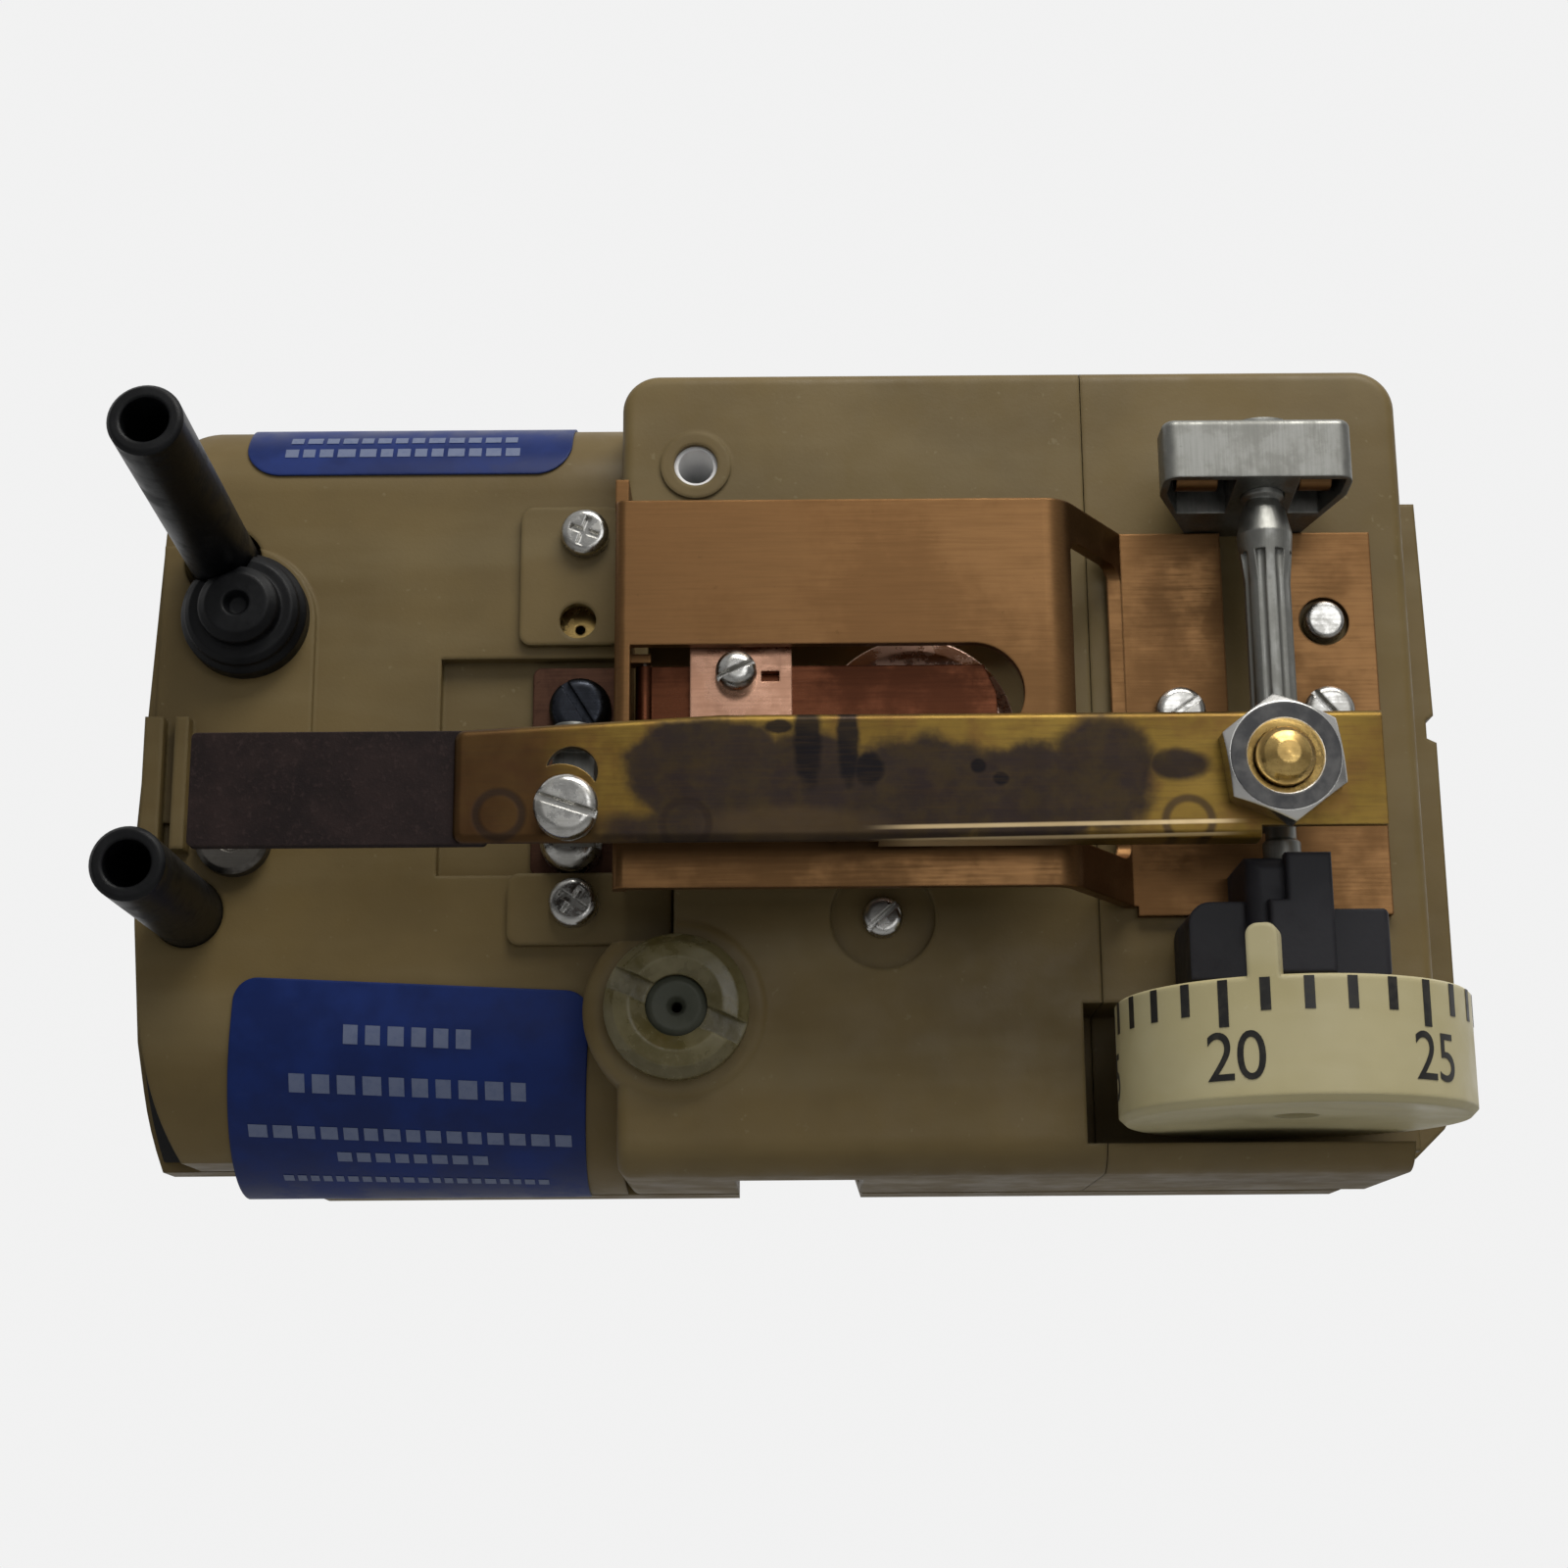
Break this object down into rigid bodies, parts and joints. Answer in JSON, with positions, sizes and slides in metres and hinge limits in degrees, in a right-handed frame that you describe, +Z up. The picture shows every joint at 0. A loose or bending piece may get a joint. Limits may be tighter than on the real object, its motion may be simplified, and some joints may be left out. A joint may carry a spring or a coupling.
{
  "type": "wall thermostat",
  "caption": "Pneumatic wall thermostat with its cover off: bimetal lever, set-point dial, cam shaft, feedback leaf and relay on a moulded body with two air tubes.",
  "frame": {"origin": "on the flat back face of the base plate, which lies against the wall, near the middle of the case", "axes": "+Y is the outward normal of the back face, into the wall; +Z is up; +X runs along the case towards the set-point dial"},
  "size_m": [0.0824, 0.0331, 0.0479],
  "materials": {
    "case_moulding": "satin moulding, olive",
    "gasket_rubber": "matte",
    "zinc_steel": "bright zinc plate",
    "black_oxide": "blackened",
    "nylon": "matte",
    "label_foil": "printed foil, blue",
    "tube_rubber": "satin",
    "plug_metal": "satin",
    "amber_plastic": "translucent amber",
    "septum_rubber": "matte",
    "brass": "satin",
    "bronze": "satin bronze sheet",
    "copper": "bright copper",
    "leaf_bronze": "dark bronze",
    "hinge_brown": "satin",
    "strip_brass": "heat-stained brass",
    "bimetal_surface": "oxidised",
    "cast_zinc": "satin casting",
    "black_moulding": "matte",
    "ivory_moulding": "satin",
    "felt": "felt",
    "diaphragm_rubber": "matte"
  },
  "bodies": {
    "case": {"base_plate": "case_moulding", "channel_gasket": "gasket_rubber", "left_body": "case_moulding", "relay_block": "case_moulding", "end_block": "case_moulding", "case_screws": "zinc_steel", "mount_bush": "nylon", "front_label": "label_foil", "top_label": "label_foil", "upper_tube": "tube_rubber", "lower_tube": "tube_rubber", "upper_connector": "tube_rubber", "port_plug": "plug_metal", "test_plug_ring": "amber_plastic", "test_septum": "septum_rubber", "restrictor_cover": "case_moulding", "filter_cover": "case_moulding", "cover_screws": "zinc_steel", "restrictor": "brass", "air_filter": "felt", "hinge_plate": "hinge_brown", "hinge_screw": "black_oxide", "fulcrum_pillar": "cast_zinc", "hinge_screw_lower": "zinc_steel", "pivot_screw": "zinc_steel", "pivot_spring": "zinc_steel", "bridge_plate": "bronze", "bridge_screws": "zinc_steel", "locating_pin": "zinc_steel", "block_clamp_screw": "zinc_steel", "leaf_hinge_pin": "zinc_steel", "feedback_bellows": "copper", "pilot_nozzle": "brass", "bearing_bracket": "cast_zinc", "bracket_pins": "bronze", "lower_bearing": "black_moulding", "relay_diaphragm": "diaphragm_rubber", "valve_seat": "brass", "valve_spring": "zinc_steel"},
    "setpoint": {"dial": "ivory_moulding", "setpoint_shaft": "cast_zinc"},
    "lever": {"lever_strip": "strip_brass", "bimetal": "bimetal_surface", "lock_nut": "zinc_steel"},
    "calibration": {"calibration_screw": "brass"},
    "feedback": {"feedback_leaf": "leaf_bronze"},
    "clip": {"sensitivity_clip": "copper", "clamp_screw": "zinc_steel"},
    "relay_valve": {"diaphragm_plate": "plug_metal", "valve_stem": "brass"}
  },
  "joints": [
    {"name": "dial_turn", "type": "hinge", "parent": "case", "child": "setpoint", "pos_m": [0.0269, -0.022, 0], "axis": [0, 0, 1], "range_deg": [-92, 128]},
    {"name": "lever_tilt", "type": "hinge", "parent": "case", "child": "lever", "pos_m": [-0.0121, -0.025, 0], "axis": [0, 0, 1], "range_deg": [-1.4, 1]},
    {"name": "calibration_turn", "type": "hinge", "parent": "lever", "child": "calibration", "pos_m": [0.02615, -0.0265, -0.00315], "axis": [0, -1, 0], "range_deg": [-270, 270]},
    {"name": "feedback_tilt", "type": "hinge", "parent": "case", "child": "feedback", "pos_m": [-0.0084, -0.02175, 0], "axis": [0, 0, 1], "range_deg": [-1, 0.3]},
    {"name": "sensitivity_slide", "type": "slide", "parent": "feedback", "child": "clip", "axis": [1, 0, 0], "range_m": [-0.002, 0.005]},
    {"name": "relay_stroke", "type": "slide", "parent": "case", "child": "relay_valve", "axis": [0, -1, 0], "range_m": [0, 0.0005], "stiffness_N_per_m": 200}
  ],
  "couplings": [
    {"joint": "lever_tilt", "follows": "dial_turn", "ratio": -0.01}
  ]
}
